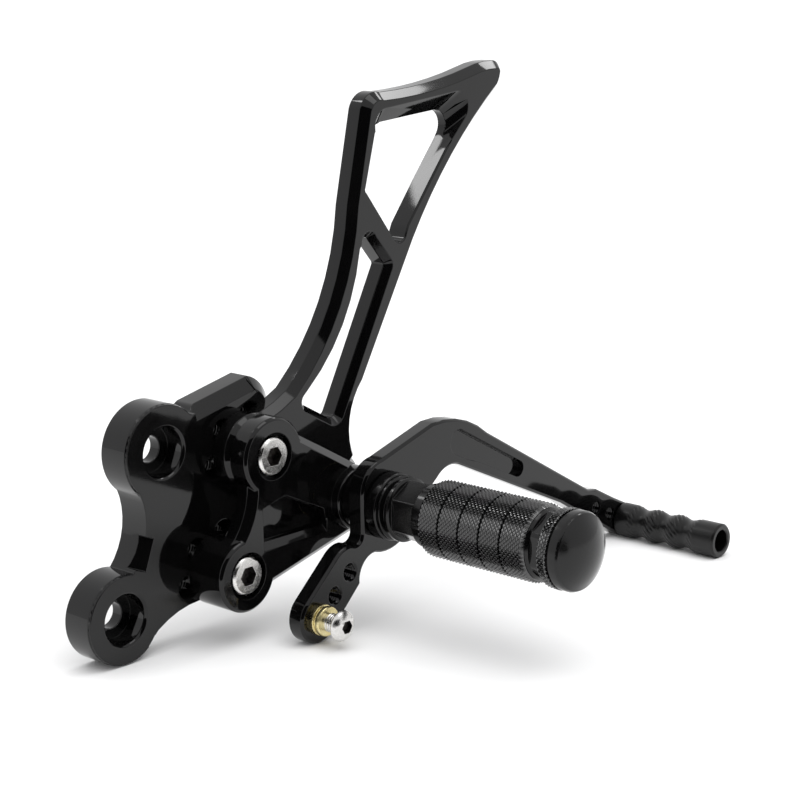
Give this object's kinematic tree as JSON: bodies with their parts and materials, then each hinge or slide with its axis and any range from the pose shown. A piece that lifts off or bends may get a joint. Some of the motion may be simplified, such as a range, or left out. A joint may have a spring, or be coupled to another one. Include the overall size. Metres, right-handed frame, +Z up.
{
  "type": "motorcycle rear sets footrest",
  "caption": "Adjustable rear-set footrest with a mounting plate, peg bracket, heel guard, knurled footpeg and a pivoting gear lever with toe peg.",
  "frame": {"origin": "centre of the upper frame bolt hole on the plate's flat mounting face", "axes": "+X towards the machine's rear, +Z up, and the footpeg points along -Y, away from the machine"},
  "size_m": [0.2462, 0.1285, 0.1838],
  "materials": {
    "black_anodised": "glossy black anodised, milled",
    "knurled_black": "matt black anodised, diamond knurled",
    "stainless": "bright stainless steel, turned",
    "brass": "satin brass"
  },
  "bodies": {
    "bracket": {"base_plate": "black_anodised", "peg_bracket": "black_anodised", "heel_guard": "black_anodised", "upper_bracket_bolt": "stainless", "lower_bracket_bolt": "stainless", "pivot_bolt": "stainless", "pivot_washer": "stainless", "pivot_sleeve": "stainless", "lever_spacer": "black_anodised", "thrust_collar": "black_anodised", "peg_core": "black_anodised", "peg_grip": "knurled_black", "peg_end_neck": "black_anodised", "peg_end_ring": "knurled_black", "peg_end_cap": "black_anodised"},
    "lever": {"gear_lever": "black_anodised", "inner_bush": "brass", "outer_bush": "brass", "toe_peg": "black_anodised", "toe_stud": "stainless", "link_spacer": "brass", "link_screw": "stainless"}
  },
  "joints": [
    {"name": "lever_pivot", "type": "hinge", "parent": "bracket", "child": "lever", "pos_m": [0.071, -0.04, -0.026], "axis": [0, 1, 0], "range_deg": [-20, 20]}
  ]
}
